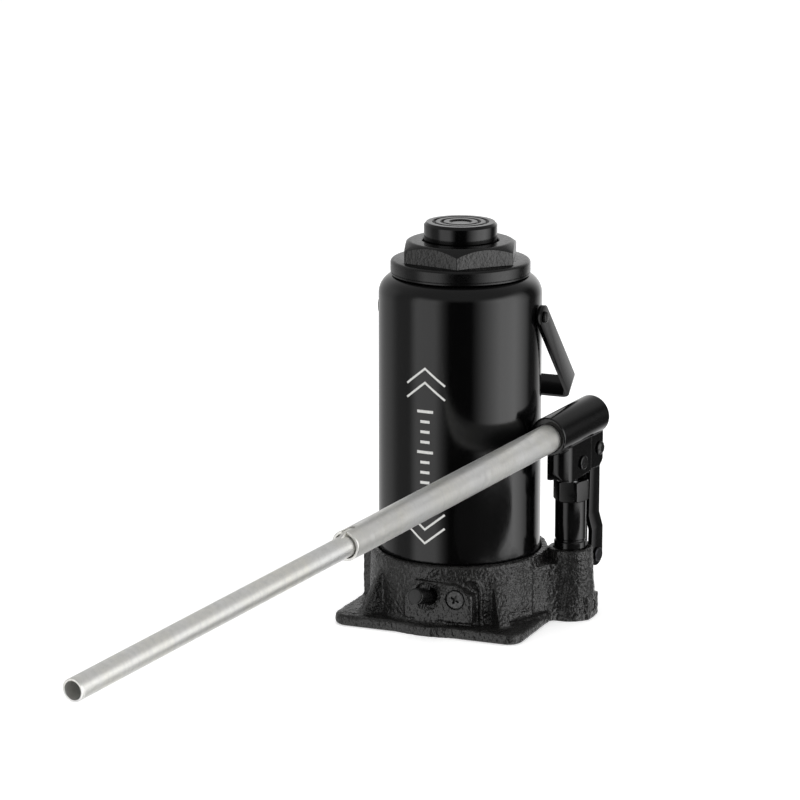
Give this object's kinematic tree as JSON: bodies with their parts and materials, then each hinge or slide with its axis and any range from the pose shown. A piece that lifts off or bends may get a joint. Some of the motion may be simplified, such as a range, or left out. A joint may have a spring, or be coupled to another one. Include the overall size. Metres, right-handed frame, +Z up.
{
  "type": "hydraulic bottle jack",
  "caption": "Hydraulic bottle jack: cast base, round oil tank, ram with extension screw and saddle, side pump with link and socket, two-piece handle, release valve and carrying bail.",
  "frame": {"origin": "middle of the base's underside, on the ram's axis", "axes": "+Z up along the ram, -Y towards the release valve and the handle's tip, +X towards the pump"},
  "size_m": [0.1423, 0.5271, 0.242],
  "materials": {
    "cast_black": "semi-gloss black paint on a rough casting",
    "gloss_black": "gloss black paint",
    "zinc_steel": "satin zinc plating",
    "bright_steel": "ground",
    "dark_steel": "blackened",
    "copper": "soft annealed",
    "rubber": "matt"
  },
  "bodies": {
    "base": {"base_casting": "cast_black", "reservoir_tank": "gloss_black", "filler_plug": "rubber", "ram_cylinder": "bright_steel", "cylinder_washer": "copper", "tank_bottom_gasket": "rubber", "tank_top_gasket": "rubber", "top_nut": "cast_black", "ram_wiper": "rubber", "inlet_ball": "bright_steel", "inlet_spring": "bright_steel", "outlet_ball": "bright_steel", "outlet_spring": "bright_steel", "pump_cylinder": "gloss_black", "pump_washer": "copper", "gland_seal": "rubber", "overload_plug": "dark_steel", "overload_spring": "bright_steel", "overload_ball": "bright_steel", "passage_plug": "dark_steel", "bail_stud_right": "dark_steel", "bail_stud_left": "dark_steel"},
    "ram": {"ram": "bright_steel", "ram_packing": "rubber", "packing_retainer": "dark_steel"},
    "saddle": {"saddle": "gloss_black"},
    "screw": {"extension_screw": "bright_steel"},
    "link": {"link_strap_outer": "gloss_black", "link_strap_inner": "gloss_black", "link_lower_pin": "dark_steel"},
    "socket": {"handle_socket": "gloss_black", "socket_front_pin": "dark_steel", "socket_rear_pin": "dark_steel"},
    "plunger": {"pump_plunger": "bright_steel", "plunger_seal": "rubber"},
    "handle_outer": {"handle_outer_tube": "zinc_steel"},
    "handle_inner": {"handle_inner_tube": "zinc_steel"},
    "bail": {"carry_bail": "gloss_black"},
    "release_ball": {"release_ball": "bright_steel"},
    "release_valve": {"release_spindle": "gloss_black", "release_cross_pin": "gloss_black", "release_seal": "rubber"}
  },
  "joints": [
    {"name": "ram_lift", "type": "slide", "parent": "base", "child": "ram", "axis": [0, 0, 1], "range_m": [0, 0.15]},
    {"name": "screw_rise", "type": "slide", "parent": "ram", "child": "saddle", "axis": [0, 0, 1], "range_m": [0, 0.06]},
    {"name": "screw_turn", "type": "hinge", "parent": "saddle", "child": "screw", "pos_m": [0, 0, 0.2], "axis": [0, 0, 1], "range_deg": [0, 3600]},
    {"name": "link_sway", "type": "hinge", "parent": "base", "child": "link", "pos_m": [0.06956, 0.03706, 0.0346], "axis": [-0.9836, 0.1805, 0], "range_deg": [-1.5, 0]},
    {"name": "pump_stroke", "type": "hinge", "parent": "link", "child": "socket", "pos_m": [0.06983, 0.03853, 0.1013], "axis": [-0.9836, 0.1805, 0], "range_deg": [0, 40]},
    {"name": "plunger_slide", "type": "slide", "parent": "base", "child": "plunger", "axis": [0, 0, 1], "range_m": [0, 0.0151]},
    {"name": "handle_pull", "type": "slide", "parent": "socket", "child": "handle_outer", "axis": [-0.1801, -0.981, -0.0717], "range_m": [0, 0.045]},
    {"name": "handle_extension", "type": "slide", "parent": "handle_outer", "child": "handle_inner", "axis": [-0.1801, -0.981, -0.0717], "range_m": [0, 0.04]},
    {"name": "bail_swing", "type": "hinge", "parent": "base", "child": "bail", "pos_m": [0, 0.004, 0.187], "axis": [1, 0, 0], "range_deg": [0, 110]},
    {"name": "release_ball_lift", "type": "slide", "parent": "base", "child": "release_ball", "axis": [0, -0.9659, 0.2588], "range_m": [0, 0.0023]},
    {"name": "release_turn", "type": "hinge", "parent": "release_ball", "child": "release_valve", "pos_m": [0.0012, -0.055, 0.024], "axis": [0, -0.9659, 0.2588], "range_deg": [0, 540]}
  ],
  "couplings": [
    {"joint": "screw_turn", "follows": "screw_rise", "rad_per_m": 1047.2},
    {"joint": "link_sway", "follows": "pump_stroke", "ratio": -0.0343},
    {"joint": "plunger_slide", "follows": "pump_stroke", "m_per_rad": 0.02127},
    {"joint": "release_ball_lift", "follows": "release_turn", "m_per_rad": 0.00023873}
  ]
}
